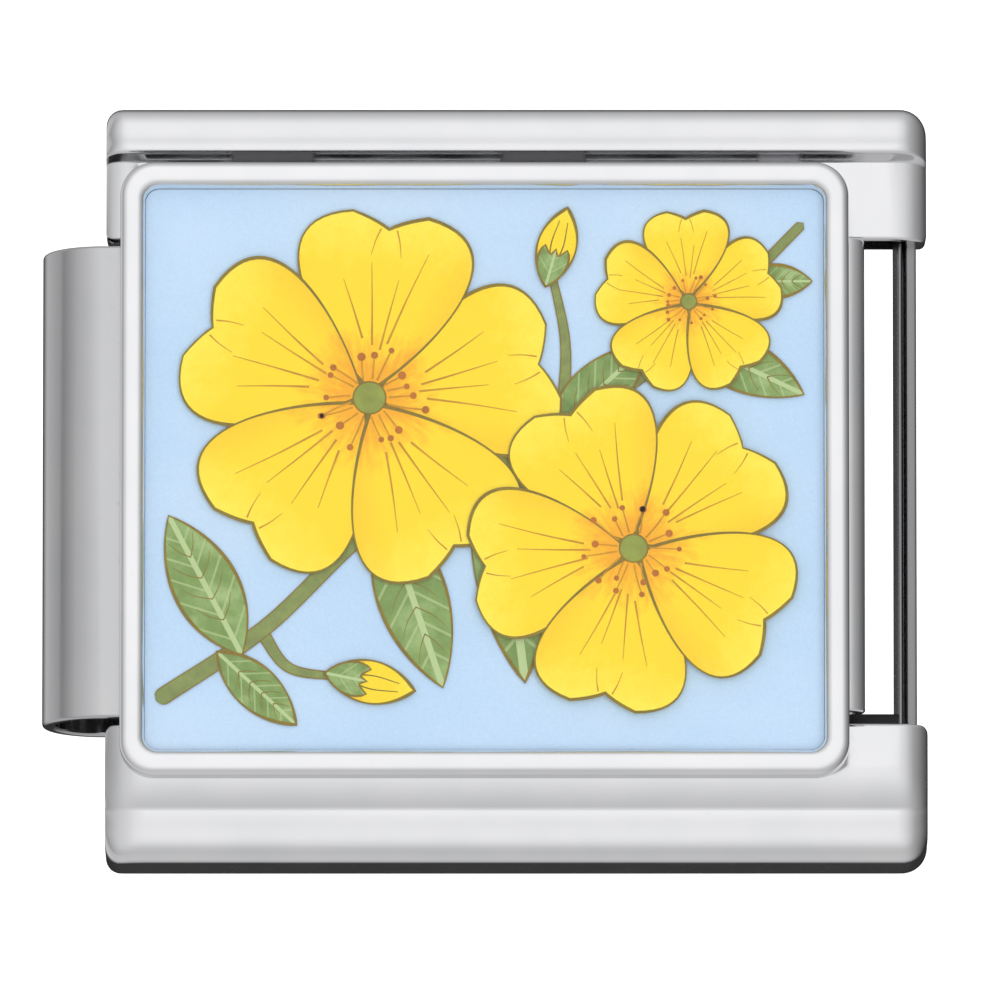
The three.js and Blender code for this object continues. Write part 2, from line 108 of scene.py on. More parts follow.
# How far the notch in a wing's roof clears a clip, across and along
NOTCH_GAP = 0.05
NOTCH_END_GAP = 0.1
BAR_LEFT, BAR_RIGHT = 4.82, 5.09
BAR_BOTTOM, BAR_TOP = 0.33, 0.97
BAR_INNER_LEAF, BAR_OUTER_LEAF = 0.1, 0.13
BAR_BEND, BAR_EDGE = 0.09, 0.03
BAR_BEVEL_WIDTH, BAR_BEVEL_DROP = 0.065, 0.4
BAR_SLOT_FLOOR = 0.2
BAR_SET_IN = 0.2
LEDGE_LEFT, LEDGE_RIGHT = 4.26, 4.87
LEDGE_SECTION = [
    (-2.96, 1.2), (-2.96, 1.42), (-2.8, 1.37), (-2.757, 1.32), (-2.75, 1.27), (-2.76, 1.22), (-2.8, 1.2),
]
TAB_PLACES = [-3, 0.2]
TAB_LENGTH = 1
TAB_SET_IN = 0.12
TAB_FOOT = 0.08
STRETCH = 1.5

# Face; the rim is drawn a little wider than the solid's 0.275
RIM_WIDTH = 0.29
RIM_ROUND = 0.09
TRAY_BASE_ROUND = 0.06
TRAY_CORNER = 0.4
INNER_CORNER = 0.165
TRAY_FLOOR = 0.09
TRAY_FLOOR_ROUND = 0.04
COVER_ROUND = 0.012

# Picture, on the same lines as the solids that the finer shapes stand for
TWIG_WIDTH = 0.15
TWIG_ROUTE = [(-3.85, -2.75), (-2.6, -1.9), (-1.2, -0.6), (0.6, 0.35), (2.1, 1.3), (3.75, 2.95)]
BUD_STALKS = [
    [(-2.62, -1.92), (-2.3, -2.35), (-1.65, -2.47)],
    [(0.9, 0.5), (0.95, 1.5), (0.78, 2.4)],
]
LEAVES = [
    ((-2.9, -2.1), 1.75, 0.75, 2.05),
    ((-3.05, -2.25), 1.15, 0.5, -0.75),
    ((-1.15, -0.6), 2.1, 0.8, -1.25),
    ((0.85, 0.5), 1.45, 0.62, 0.75),
    ((0.15, 0.15), 2.7, 0.85, -1.45),
    ((2.4, 1.55), 1.5, 0.6, -0.45),
    ((3.1, 2.25), 0.75, 0.38, 0.0),
]
BUDS = {
    "printed_bud_lower": ((-1.75, -2.45), 0.95, 0.5, -0.2),
    "printed_bud_upper": ((0.75, 2.3), 0.85, 0.45, 1.3),
}
BLOSSOMS = {
    "printed_blossom_large": ((-1.35, 0.85), 2.25, 0.2),
    "printed_blossom_middle": ((1.75, -0.95), 1.95, 0.75),
    "printed_blossom_small": ((2.4, 2), 1.1, 0.35),
}
PETALS = 5
STAMENS = 17
# Lines are drawn for a blossom of this radius and are finer in smaller ones
LARGE_BLOSSOM = 2.25
LINE = 0.032
# How far a stroke of ink stands out
INK = 0.001

# Light: (degrees from the zenith, brightness) towards the back, the front, the left and the right
SURROUNDINGS = [
    [
        (0, 0.98), (10, 1.04), (36, 1.0), (50, 0.85), (67, 0.68),
        (93, 0.55), (113, 0.42), (132, 0.2), (150, 0.03),
    ],
    [
        (0, 0.98), (12, 0.92), (25, 0.8), (45, 0.62), (67, 0.58),
        (93, 0.6), (130, 0.62), (150, 0.5), (163, 0.04),
    ],
    [
        (0, 0.98), (18, 0.88), (37, 0.74), (54, 0.65), (67, 0.5),
        (85, 0.33), (92, 0.5), (135, 0.7), (160, 0.03),
    ],
    [(0, 0.98), (34, 0.66), (60, 0.4), (88, 0.26), (110, 0.16), (130, 0.1), (150, 0.03)],
]
LAMP_POWER = 1.5
LAMP_SPREAD = math.radians(50)
LAMP_TILT = (math.radians(12), math.radians(8), 0)

# The floor lies below the lowest reach of the lower sleeve when it swings open
FLOOR = -8.2
FLOOR_REACH = 400

# View
VIEW_ELEVATION = math.radians(80)
VIEW_DISTANCE = 350
VIEW_WIDTH = 11.78
VIEW_TARGET = (0.182, -0.145, 1)


def mm_box(node):
    """Lowest and highest corner of a CAD node."""
    low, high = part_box(node)
    return [c / MM for c in low], [c / MM for c in high]


# Mesh helpers


def mesh_object(name, vertices, faces, local=None):
    """A smooth-shaded object; local holds one (along, across, shade) for each vertex."""
    mesh = bpy.data.meshes.new(name)
    mesh.from_pydata([Vector(v) * MM for v in vertices], [], faces)
    work = bmesh.new()
    work.from_mesh(mesh)
    bmesh.ops.recalc_face_normals(work, faces=work.faces)
    work.to_mesh(mesh)
    work.free()
    mesh.shade_smooth()
    if local is not None:
        values = mesh.attributes.new("local", "FLOAT_VECTOR", "POINT")
        values.data.foreach_set("vector", [c for v in local for c in v])
    obj = bpy.data.objects.new(name, mesh)
    bpy.context.scene.collection.objects.link(obj)
    return obj


def crisp(obj, angle=38):
    """Shades rounded parts smooth and flat parts flat."""
    obj.data.set_sharp_from_angle(angle=math.radians(angle))
    modifier = obj.modifiers.new("normals", "WEIGHTED_NORMAL")
    modifier.keep_sharp = True
    modifier.weight = 90
    return obj


def apply_modifiers(obj):
    bpy.context.view_layer.objects.active = obj
    for modifier in list(obj.modifiers):
        bpy.ops.object.modifier_apply(modifier=modifier.name)


def join(name, parts):
    """One object from several."""
    bpy.ops.object.select_all(action="DESELECT")
    for part in parts:
        part.select_set(True)
    bpy.context.view_layer.objects.active = parts[0]
    bpy.ops.object.join()
    parts[0].name = name
    parts[0].data.name = name
    return parts[0]


def arc(centre, radius, start, end, steps=28):
    """Points on an arc, with angles in degrees, both ends included."""
    angles = [math.radians(start + (end - start) * i / steps) for i in range(steps + 1)]
    return [(centre[0] + radius * math.cos(a), centre[1] + radius * math.sin(a)) for a in angles]


def path_normals(path, closed):
    """The left-hand unit normal at each point of a flat path."""
    count = len(path)
    normals = []
    for i, point in enumerate(path):
        before = path[i - 1] if closed or i else point
        after = path[(i + 1) % count] if closed or i < count - 1 else point
        dx, dy = after[0] - before[0], after[1] - before[1]
        length = math.hypot(dx, dy)
        normals.append((-dy / length, dx / length))
    return normals


def edge_stations(low, high, radius, steps=4):
    """(place across, how far each face draws in) for a sheet whose cut edges are rounded."""
    start = []
    for i in range(steps, -1, -1):
        angle = math.radians(90 * i / steps)
        start.append((low + radius * (1 - math.sin(angle)), radius * (1 - math.cos(angle))))
    return start + [(low + high - place, draw_in) for place, draw_in in reversed(start)]


def formed_sheet(name, path, thickness, low, high, place, closed=False):
    """Sheet bent along a flat path, from low to high across it.

    place(a, b, s) gives the point in space for the path's (a, b) and a place s across.
    """
    normals = path_normals(path, closed)
    stations = edge_stations(low, high, thickness * 0.28)
    count = len(path)
    vertices, faces = [], []
    for s, draw_in in stations:
        half = thickness / 2 - draw_in
        for side in (1, -1):
            for (a, b), (na, nb) in zip(path, normals):
                vertices.append(place(a + na * half * side, b + nb * half * side, s))

    def at(station, side, i):
        return (station * 2 + side) * count + i % count

    spans = range(count if closed else count - 1)
    last = len(stations) - 1
    for k in range(last):
        for side in (0, 1):
            for i in spans:
                here, there = at(k, side, i), at(k, side, i + 1)
                faces.append((here, there, at(k + 1, side, i + 1), at(k + 1, side, i)))
        if not closed:
            for i in (0, count - 1):
                faces.append((at(k, 0, i), at(k, 1, i), at(k + 1, 1, i), at(k + 1, 0, i)))
    for k in (0, last):
        for i in spans:
            faces.append((at(k, 0, i), at(k, 1, i), at(k, 1, i + 1), at(k, 0, i + 1)))
    return crisp(mesh_object(name, vertices, faces))


def across_band(a, b, s):
    """Path in X and Z, sheet running along Y."""
    return (a, s, b)


def along_bracelet(a, b, s):
    """Path in Y and Z, sheet running along X."""
    return (s, a, b)


def rounded_loop(length, width, radius, z):
    """Points of a rounded rectangle about the Z axis, anticlockwise."""
    loop = []
    for i, (sx, sy) in enumerate([(1, 1), (-1, 1), (-1, -1), (1, -1)]):
        corner = (sx * (length / 2 - radius), sy * (width / 2 - radius))
        loop += [(x, y, z) for x, y in arc(corner, radius, 90 * i, 90 * i + 90, 16)]
    return loop


def lofted(name, loops):
    """A closed surface through loops of equal length, with flat ends."""
    count = len(loops[0])
    vertices = [v for loop in loops for v in loop]
    faces = []
    for k in range(len(loops) - 1):
        a, b = k * count, (k + 1) * count
        for i in range(count):
            j = (i + 1) % count
            faces.append((a + i, a + j, b + j, b + i))
    top = (len(loops) - 1) * count
    faces.append(tuple(range(count)))
    faces.append(tuple(range(top, top + count)))
    return mesh_object(name, vertices, faces)


# Materials


class Nodes:
    """Short calls for one node tree."""

    def __init__(self, tree):
        self.tree = tree
        tree.nodes.clear()

    def put(self, value, socket):
        if isinstance(value, bpy.types.NodeSocket):
            self.tree.links.new(value, socket)
        elif isinstance(value, tuple) and len(value) == 3 and socket.type == "RGBA":
            socket.default_value = (*value, 1)
        else:
            socket.default_value = value

    def add(self, kind, **inputs):
        node = self.tree.nodes.new(kind)
        for key, value in inputs.items():
            self.put(value, node.inputs[key.replace("_", " ")])
        return node

    def math(self, operation, *values):
        node = self.tree.nodes.new("ShaderNodeMath")
        node.operation = operation
        for value, socket in zip(values, node.inputs):
            self.put(value, socket)
        return node.outputs[0]

    def place(self, scale=(1, 1, 1)):
        """Object coordinates in millimetres, stretched by scale."""
        where = self.tree.nodes.new("ShaderNodeTexCoord")
        mapping = self.add("ShaderNodeMapping", Vector=where.outputs["Object"])
        mapping.inputs["Scale"].default_value = [s / MM for s in scale]
        return mapping.outputs["Vector"]

    def noise(self, vector, scale, detail=3.0, roughness=0.5):
        node = self.add("ShaderNodeTexNoise", Vector=vector, Scale=scale, Detail=detail, Roughness=roughness)
        return node.outputs["Fac"]

    def ramp(self, factor, stops):
        node = self.add("ShaderNodeValToRGB", Fac=factor)
        ramp = node.color_ramp
        ramp.elements.remove(ramp.elements[-1])
        ramp.elements[0].position = stops[0][0]
        ramp.elements[0].color = (*stops[0][1], 1)
        for position, color in stops[1:]:
            ramp.elements.new(position).color = (*color, 1)
        return node.outputs["Color"]

    def mix(self, kind, factor, first, second):
        node = self.tree.nodes.new("ShaderNodeMix")
        node.data_type = "RGBA"
        node.blend_type = kind
        for index, value in ((0, factor), (6, first), (7, second)):
            self.put(value, node.inputs[index])
        return node.outputs[2]

    def bump(self, height, distance, strength=1.0, **inputs):
        node = self.add("ShaderNodeBump", Height=height, Distance=distance * MM, Strength=strength, **inputs)
        return node.outputs["Normal"]

    def local(self):
        """The print's own (along, across, shade) at a point."""
        attribute = self.tree.nodes.new("ShaderNodeAttribute")
        attribute.attribute_name = "local"
        return attribute.outputs["Vector"]

    def split(self, vector):
        return self.add("ShaderNodeSeparateXYZ", Vector=vector).outputs

    def surface(self, **inputs):
        shader = self.add("ShaderNodeBsdfPrincipled", **inputs)
        self.add("ShaderNodeOutputMaterial", Surface=shader.outputs["BSDF"])
        return shader


def new_material(name):
    material = bpy.data.materials.new(name)
    material.use_nodes = True
    return material, Nodes(material.node_tree)


def ink(red, green, blue):
    """A colour given as 0 to 255 values, made linear."""
    shares = [value / 255 for value in (red, green, blue)]
    return tuple(s / 12.92 if s <= 0.04045 else ((s + 0.055) / 1.055) ** 2.4 for s in shares)


def polished_steel(name, grain, tone, rough):
    """Polished stainless sheet: fine grain one way, soft waviness, clouds and small scuffs."""
    material, nodes = new_material(name)
    fine = nodes.noise(nodes.place(grain), 26, 1, 0.6)
    waves = nodes.noise(nodes.place(), 0.5, 0)
    clouds = nodes.noise(nodes.place(), 1.1, 2, 0.6)
    scuffs = nodes.noise(nodes.place((1.3, 0.9, 1.1)), 9, 2, 0.75)
    normal = nodes.bump(fine, 0.0006, 0.5, Normal=nodes.bump(waves, 0.010))
    worn = nodes.math("MULTIPLY", nodes.math("GREATER_THAN", scuffs, 0.66), 0.06)
    roughness = nodes.math("MULTIPLY_ADD", clouds, 0.1, nodes.math("ADD", worn, rough - 0.05))
    dull, bright = (tone * 0.95, tone * 0.955, tone * 0.97), (tone, tone, tone * 1.005)
    color = nodes.ramp(clouds, [(0.3, dull), (0.7, bright)])
    nodes.surface(Base_Color=color, Metallic=1.0, Roughness=roughness, Normal=normal)
    return material


def spring_steel(name):
    """Satin spring strip with rolling lines along its length."""
    material, nodes = new_material(name)
    lines = nodes.noise(nodes.place((0.05, 1, 1)), 34, 4, 0.6)
    clouds = nodes.noise(nodes.place(), 2)
    color = nodes.ramp(clouds, [(0.3, (0.46, 0.46, 0.49)), (0.7, (0.58, 0.58, 0.59))])
    roughness = nodes.math("MULTIPLY_ADD", lines, 0.15, 0.24)
    nodes.surface(Base_Color=color, Metallic=1.0, Roughness=roughness, Normal=nodes.bump(lines, 0.001, 0.6))
    return material


def printed(nodes, color):
    """Ink on film, with a fine dot grain."""
    grain = nodes.noise(nodes.place(), 45, 0)
    specks = nodes.ramp(grain, [(0.3, (0.95, 0.95, 0.95)), (0.7, (1, 1, 1))])
    tinted = nodes.mix("MULTIPLY", 1.0, color, specks)
    nodes.surface(Base_Color=tinted, Roughness=0.5, Normal=nodes.bump(grain, 0.0006, 0.4))


def sky_print(name):
    """Light blue ground with a soft wash."""
    material, nodes = new_material(name)
    wash = nodes.noise(nodes.place((0.6, 1, 1)), 0.5, 5, 0.55)
    printed(nodes, nodes.ramp(wash, [(0.3, ink(187, 214, 240)), (0.7, ink(200, 222, 243))]))
    return material


def petal_print(name, deep, middle, pale):
    """Petals from a deep foot to a pale tip, with streaks that fan out from the foot."""
    material, nodes = new_material(name)
    along, across, shade = nodes.split(nodes.local())
    fan = nodes.math("DIVIDE", across, nodes.math("ADD", along, 0.12))
    rays = nodes.add("ShaderNodeCombineXYZ", X=nodes.math("MULTIPLY", along, 0.9), Y=fan, Z=shade)
    streaks = nodes.noise(rays.outputs["Vector"], 11, 4, 0.65)
    reach = nodes.math("ADD", along, nodes.math("MULTIPLY_ADD", streaks, 0.44, -0.22))
    base = nodes.ramp(reach, [(0.14, deep), (0.36, middle), (0.68, middle), (0.98, pale)])
    sides = nodes.math("MULTIPLY_ADD", fan, 0.62, 0.5)
    plain = (1, 1, 1)
    fold = nodes.ramp(sides, [(0, (0.93, 0.7, 0.35)), (0.3, plain), (0.8, plain), (1, (0.97, 0.85, 0.5))])
    printed(nodes, nodes.mix("MULTIPLY", 0.75, base, fold))
    return material


def leaf_print(name):
    """Leaves with a pale midrib, side veins and a mottled wash."""
    material, nodes = new_material(name)
    along, across, _ = nodes.split(nodes.local())
    off_rib = nodes.math("ABSOLUTE", across)
    waves = nodes.math("SINE", nodes.math("MULTIPLY", nodes.math("SUBTRACT", along, off_rib), 34.0))
    veins = nodes.math("MULTIPLY", nodes.math("GREATER_THAN", waves, 0.94), 0.55)
    rib = nodes.math("LESS_THAN", off_rib, 0.018)
    wash = nodes.noise(nodes.local(), 4, 5, 0.6)
    greens = nodes.ramp(wash, [(0.3, ink(108, 137, 62)), (0.5, ink(130, 156, 82)), (0.7, ink(162, 186, 118))])
    printed(nodes, nodes.mix("MIX", nodes.math("MAXIMUM", veins, rib), greens, ink(184, 202, 140)))
    return material


def line_print(name, color):
    """One ink for lines and stalks, a little uneven."""
    material, nodes = new_material(name)
    wash = nodes.noise(nodes.place(), 5, 4, 0.6)
    dark = tuple(c * 0.75 for c in color)
    printed(nodes, nodes.ramp(wash, [(0.35, dark), (0.65, color)]))
    return material


def clear_resin(name):
    """Clear glossy cover: what lies under it shows through, and its surface mirrors a little."""
    material, nodes = new_material(name)
    ripple = nodes.bump(nodes.noise(nodes.place(), 0.35, 0), 0.006)
    facing = nodes.add("ShaderNodeLayerWeight", Blend=0.5, Normal=ripple)
    mirror = nodes.math("MULTIPLY_ADD", nodes.math("POWER", facing.outputs["Facing"], 4.0), 0.6, 0.02)
    clear = nodes.add("ShaderNodeBsdfTransparent", Color=(0.985, 0.993, 1.0))
    gloss = nodes.add("ShaderNodeBsdfGlossy", Roughness=0.03, Normal=ripple)
    both = nodes.add("ShaderNodeMixShader", Fac=mirror)
    nodes.put(clear.outputs["BSDF"], both.inputs[1])
    nodes.put(gloss.outputs["BSDF"], both.inputs[2])
    nodes.add("ShaderNodeOutputMaterial", Surface=both.outputs["Shader"])
    return material


def finish(obj, material, slot, body, *replaced):
    """Gives a piece its material, the body it rides on and the nodes it stands for; slot is not used."""
    obj.data.materials.clear()
    obj.data.materials.append(material)
    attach(obj, body)
    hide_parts(*replaced)
    return obj


# One steel in several tones: the wings, rim and upper sleeve in bright tones, and the lower sleeve, bar, tabs
# and ledge darker as painted shade, where they lie in shade
SLEEVE_SHADE_STEEL = polished_steel("sleeve_shaded_steel", (1, 0.04, 1), 0.60, 0.15)
INNER_STEEL = polished_steel("inner_steel", (1, 0.04, 1), 0.9, 0.13)
WING_STEEL = polished_steel("wing_steel", (0.04, 1, 1), 0.85, 0.13)
RIM_STEEL = polished_steel("rim_steel", (0.6, 0.6, 0.6), 0.88, 0.12)
BAR_SHADE_STEEL = polished_steel("bar_shaded_steel", (1, 0.04, 1), 0.30, 0.24)
TAB_SHADE_STEEL = polished_steel("tab_shaded_steel", (1, 1, 0.1), 0.22, 0.42)
LEDGE_SHADE_STEEL = polished_steel("ledge_shaded_steel", (0.1, 1, 1), 0.04, 0.35)
SPRING = spring_steel("spring_strip")


# Steel pieces


def sleeve_path(low, high, thickness, mouth=None):
    """The middle line of a flat tube's sheet, in X and Z, open at its mouth if it has one."""
    half = thickness / 2
    radius = (high[2] - low[2]) / 2 - half
    middle = (high[2] + low[2]) / 2
    left, right = low[0] + half + radius, high[0] - half - radius
    folds = arc((left, middle), radius, 90, 270) + arc((right, middle), radius, -90, 90)
    if mouth is None:
        return folds
    top = high[2] - half
    return [(mouth[0], top)] + folds + [(mouth[1], top)]


def sleeves():
    low, high = mm_box("lower_sleeve")
    path = sleeve_path(low, high, LOWER_SHEET, (MOUTH_LEFT, MOUTH_RIGHT))
    lower = formed_sheet("lower_sleeve_formed", path, LOWER_SHEET, low[1], high[1], across_band)
    # The lower sleeve's darker steel is painted shade from the face above it
    finish(lower, SLEEVE_SHADE_STEEL, "polished_steel", "jaw", "lower_sleeve")
    low, high = mm_box("upper_sleeve")
    path = sleeve_path(low, high, UPPER_SHEET)
    upper = formed_sheet("upper_sleeve_formed", path, UPPER_SHEET, low[1], high[1], across_band, closed=True)
    finish(upper, INNER_STEEL, "polished_steel", "face", "upper_sleeve")


def connector_clip(node, side):
    """A staple bent from flat strip, with rounded bends."""
    low, high = mm_box(node)
    half = CLIP_SHEET / 2
    bend = 0.1
    tip, outer = sorted([low[1] * side, high[1] * side])
    web = outer - half
    bottom, top = low[2] + half, high[2] - half
    path = [(tip, bottom)]
    path += arc((web - bend, bottom + bend), bend, -90, 0, 6)
    path += arc((web - bend, top - bend), bend, 0, 90, 6)
    path += [(tip, top)]
    path = [(y * side, z) for y, z in path]
    clip = formed_sheet(node + "_bent", path, CLIP_SHEET, low[0], high[0], along_bracelet)
    finish(clip, SPRING, "spring_steel", "clips", node)


def wave_spring(node, body, waves, start_angle):
    """A corrugated strip between the ends of its CAD node."""
    low, high = mm_box(node)
    swing = (high[2] - low[2] - SPRING_SHEET) / 2
    middle = (high[2] + low[2]) / 2
    steps = 24 * waves
    path = []
    for i in range(steps + 1):
        angle = start_angle + 2 * math.pi * waves * i / steps
        path.append((low[0] + (high[0] - low[0]) * i / steps, middle + swing * math.sin(angle)))
    strip = formed_sheet(node + "_strip", path, SPRING_SHEET, low[1], high[1], across_band)
    return finish(strip, SPRING, "spring_steel", body, node)


def wing_outline(outer, heights):
    """Outside of a wing in Y and Z, from its inner lower edge round to its inner upper edge."""
    crease, foot_inner = outer - CREASE_FROM_EDGE, WING_INNER + LIP_TUCK
    outline = arc((foot_inner + LIP_ROUND, WING_BOTTOM + LIP_ROUND), LIP_ROUND, 180, 270, 5)
    foot, corner = (outer - WALL_TUCK, WING_BOTTOM), (outer, WING_BOTTOM)
    outline += quadratic(foot, corner, (outer, WALL_FOOT), 14) + [(outer, WALL_FOOT)]
    band, edge = heights["band"], (crease + 0.06, heights["edge"])
    wall, shoulder = (outer, band - 0.35), (outer - SHOULDER, band)
    outline += bezier(wall, (outer, band - 0.11), (outer - 0.09, band - 0.02), shoulder, 20)
    outline += bezier(shoulder, (outer - 0.4, band + 0.01), (crease + 0.12, edge[1]), edge, 6)
    bottom, roof = (crease, heights["crease"]), heights["roof"]
    outline += bezier(edge, (crease + 0.03, edge[1]), (crease + 0.01, (edge[1] + bottom[1]) / 2), bottom, 5)
    control = (crease - heights["run"] * heights["ease"], roof)
    outline += quadratic(bottom, control, (crease - heights["run"], roof), 14)
    outline += arc((WING_INNER + LIP_ROUND, roof - LIP_ROUND), LIP_ROUND, 90, 180, 6)
    return outline


def corner_drop(distance, radius):
    """How far a rounded corner draws in at a distance from the end."""
    if distance >= radius:
        return 0
    return radius - math.sqrt(radius ** 2 - (radius - distance) ** 2)


def cut_away(body, *cutters):
    """Takes closed shapes out of a body."""
    for cutter in cutters:
        cut = body.modifiers.new("cut", "BOOLEAN")
        cut.operation = "DIFFERENCE"
        cut.solver = "EXACT"
        cut.object = cutter
        apply_modifiers(body)
        bpy.data.objects.remove(cutter)


def wing(side, low, high):
    """A hollow wing, open towards the sleeves, whose ends roll down; side is 1 far and -1 near."""
    left, right, outer = low[0], high[0], high[1]
    heights = FAR_WING if side > 0 else NEAR_WING
    top_z, roof = max(heights["edge"], heights["roof"]), heights["roof"] - WING_SHEET
    middle_y, middle_z = (WING_INNER + outer) / 2, (WING_BOTTOM + top_z) / 2
    reach, fall = heights["end_reach"], heights["end_fall"]
    places = []
    for s in END_STEPS:
        above = fall * max(1 - s / reach, 0) ** 2
        places.append((left + s, above, corner_drop(s, LEFT_END_OUTSIDE), corner_drop(s, END_INSIDE)))
    for s in reversed(END_STEPS):
        above, outside = corner_drop(s, RIGHT_END_ABOVE), corner_drop(s, RIGHT_END_OUTSIDE)
        places.append((right - s, above, outside, corner_drop(s, END_INSIDE)))
    loops = []
    for x, above, outside, inside in places:
        loop = []
        for y, z in wing_outline(outer, heights):
            up, out = (z - middle_z) / (top_z - middle_z), (y - middle_y) / (outer - middle_y)
            z -= up * (above if up > 0 else inside)
            y -= out * (outside if out > 0 else inside)
            loop.append((x, y * side, z))
        loops.append(loop)
    body = lofted("wing", loops)
    wall, floor = outer - WING_SHEET, WING_BOTTOM + WING_SHEET
    band, crease = heights["edge"] - WING_SHEET, outer - CREASE_FROM_EDGE
    hollow = [(WING_INNER - 0.2, floor), (wall - WALL_TUCK, floor)]
    hollow += quadratic((wall - 0.2, floor), (wall, floor), (wall, WALL_FOOT), 6)
    hollow += [(wall, WALL_FOOT), (wall, band - 0.5)]
    hollow += quadratic((wall, band - 0.4), (wall, band - 0.1), (wall - 0.2, band - 0.1), 6)
    hollow += [(wall - 0.2, band - 0.1), (crease + 0.07, band - 0.04)]
    hollow += [(crease - heights["run"], roof), (WING_INNER - 0.2, roof)]
    ends = (left + WING_SHEET, right - WING_END_WALL)
    cutter = lofted("hollow", [[(x, y * side, z) for y, z in hollow] for x in ends])
    clip_low, clip_high = mm_box("connector_clip_far")
    notch_inner, notch_outer = WING_INNER - NOTCH_GAP, clip_high[1] + NOTCH_GAP
    notch_bottom, notch_top = roof - WING_SHEET, heights["roof"] + NOTCH_GAP
    notch = [(notch_inner, notch_bottom), (notch_outer, notch_bottom)]
    notch += [(notch_outer, notch_top), (notch_inner, notch_top)]
    ends = (clip_low[0] - STRETCH - NOTCH_END_GAP, clip_high[0] + NOTCH_END_GAP)
    slot = lofted("notch", [[(x, y * side, z) for y, z in notch] for x in ends])
    cut_away(body, cutter, slot)
    return body


def hook_bar():
    """The hemmed bar between the wings' end walls, open upwards."""
    slot_left, slot_right = BAR_LEFT + BAR_INNER_LEAF, BAR_RIGHT - BAR_OUTER_LEAF
    slot, bend, edge = (slot_right - slot_left) / 2, BAR_BEND, BAR_EDGE
    section = arc((BAR_LEFT + bend, BAR_BOTTOM + bend), bend, 180, 270, 8)
    section += arc((BAR_RIGHT - bend, BAR_BOTTOM + bend), bend, -90, 0, 8)
    section += arc((BAR_RIGHT - edge, BAR_TOP - edge), edge, 0, 90, 5)
    section += arc((slot_right + edge, BAR_TOP - edge), edge, 90, 180, 5)
    section += arc((slot_left + slot, BAR_BOTTOM + BAR_SLOT_FLOOR), slot, 0, -180, 8)
    section += arc((slot_left - 0.02, BAR_TOP - 0.02), 0.02, 0, 90, 5)
    section += [(BAR_LEFT + BAR_BEVEL_WIDTH, BAR_TOP), (BAR_LEFT + 0.05, BAR_TOP - 0.02)]
    section += [(BAR_LEFT, BAR_TOP - BAR_BEVEL_DROP)]
    reach = WING_INNER + BAR_SET_IN
    bar = crisp(lofted("hook_bar_hemmed", [[(x, y, z) for x, z in section] for y in (-reach, reach)]))
    # The bar is given dark steel as painted shade, for the shade it lies in between the wings
    finish(bar, BAR_SHADE_STEEL, "polished_steel", "face")


def window_shade_ledge():
    """A narrow ledge along the near wing's inner edge, beside the window, in near-black steel as painted
    shade; the solids leave it out.
    """
    loops = [[(x, y, z) for y, z in LEDGE_SECTION] for x in (LEDGE_LEFT, LEDGE_RIGHT)]
    finish(crisp(lofted("window_shade_ledge", loops)), LEDGE_SHADE_STEEL, "polished_steel", "face")


def standoff_tab(x, side, tray_bottom):
    """A tab from just under a wing's roof up to the tray."""
    inner = WING_INNER + TAB_SET_IN
    outer = inner + WING_SHEET
    foot = (FAR_WING if side > 0 else NEAR_WING)["roof"] - TAB_FOOT
    loops = []
    for place, draw_in in edge_stations(x, x + TAB_LENGTH, 0.04):
        y0, y1 = inner + draw_in, outer - draw_in
        section = [(y0, foot), (y1, foot), (y1, tray_bottom), (y0, tray_bottom)]
        loops.append([(place, y * side, z) for y, z in section])
    return lofted("tab", loops)


def hook_frame():
    low, high = mm_box("hook_frame")
    obj = crisp(join("hook_frame_formed", [wing(1, low, high), wing(-1, low, high)]))
    finish(obj, WING_STEEL, "polished_steel", "face", "hook_frame")
    tabs = [standoff_tab(x, side, high[2]) for x in TAB_PLACES for side in (1, -1)]
    # The tabs are given dark steel as painted shade, so that the strip behind the tray shows dark
    finish(crisp(join("standoff_tabs_shaded", tabs)), TAB_SHADE_STEEL, "polished_steel", "face")
    hook_bar()
    window_shade_ledge()


def face_tray():
    """The stamped pan: its profile swept round a rounded rectangle."""
    low, high = mm_box("face_tray")
    length, width = high[0] - low[0], high[1] - low[1]
    bottom, top = low[2], high[2]
    base_round, rim_round, floor_round = TRAY_BASE_ROUND, RIM_ROUND, TRAY_FLOOR_ROUND
    floor = bottom + TRAY_FLOOR
    base, rim = arc((0, 0), base_round, -90, 0, 6), arc((0, 0), rim_round, 0, 90, 9)
    profile = [(base_round - a, bottom + base_round + b) for a, b in base]
    profile += [(rim_round - a, top - rim_round + b) for a, b in rim]
    profile += [(RIM_WIDTH - rim_round + a, top - rim_round + b) for a, b in reversed(rim)]
    profile += [(RIM_WIDTH, floor + floor_round), (RIM_WIDTH + 0.012, floor + 0.012)]
    profile += [(RIM_WIDTH + floor_round, floor)]
    loops = []
    for inset, z in profile:
        corner = TRAY_CORNER - inset * (TRAY_CORNER - INNER_CORNER) / RIM_WIDTH
        loops.append(rounded_loop(length - 2 * inset, width - 2 * inset, max(corner, 0.1), z))
    finish(crisp(lofted("face_tray_stamped", loops), 50), RIM_STEEL, "polished_steel", "face", "face_tray")


def clear_cover():
    """The clear layer over the picture, with rounded edges."""
    low, high = mm_box("clear_cover")
    length, width = high[0] - low[0], high[1] - low[1]
    loops = []
    for z, inset in edge_stations(low[2], high[2], COVER_ROUND, 5):
        loops.append(rounded_loop(length - 2 * inset, width - 2 * inset, INNER_CORNER - inset, z))
    cover = crisp(lofted("clear_cover_moulded", loops))
    finish(cover, clear_resin("clear_cover"), "clear_resin", "face", "clear_cover")


# Picture


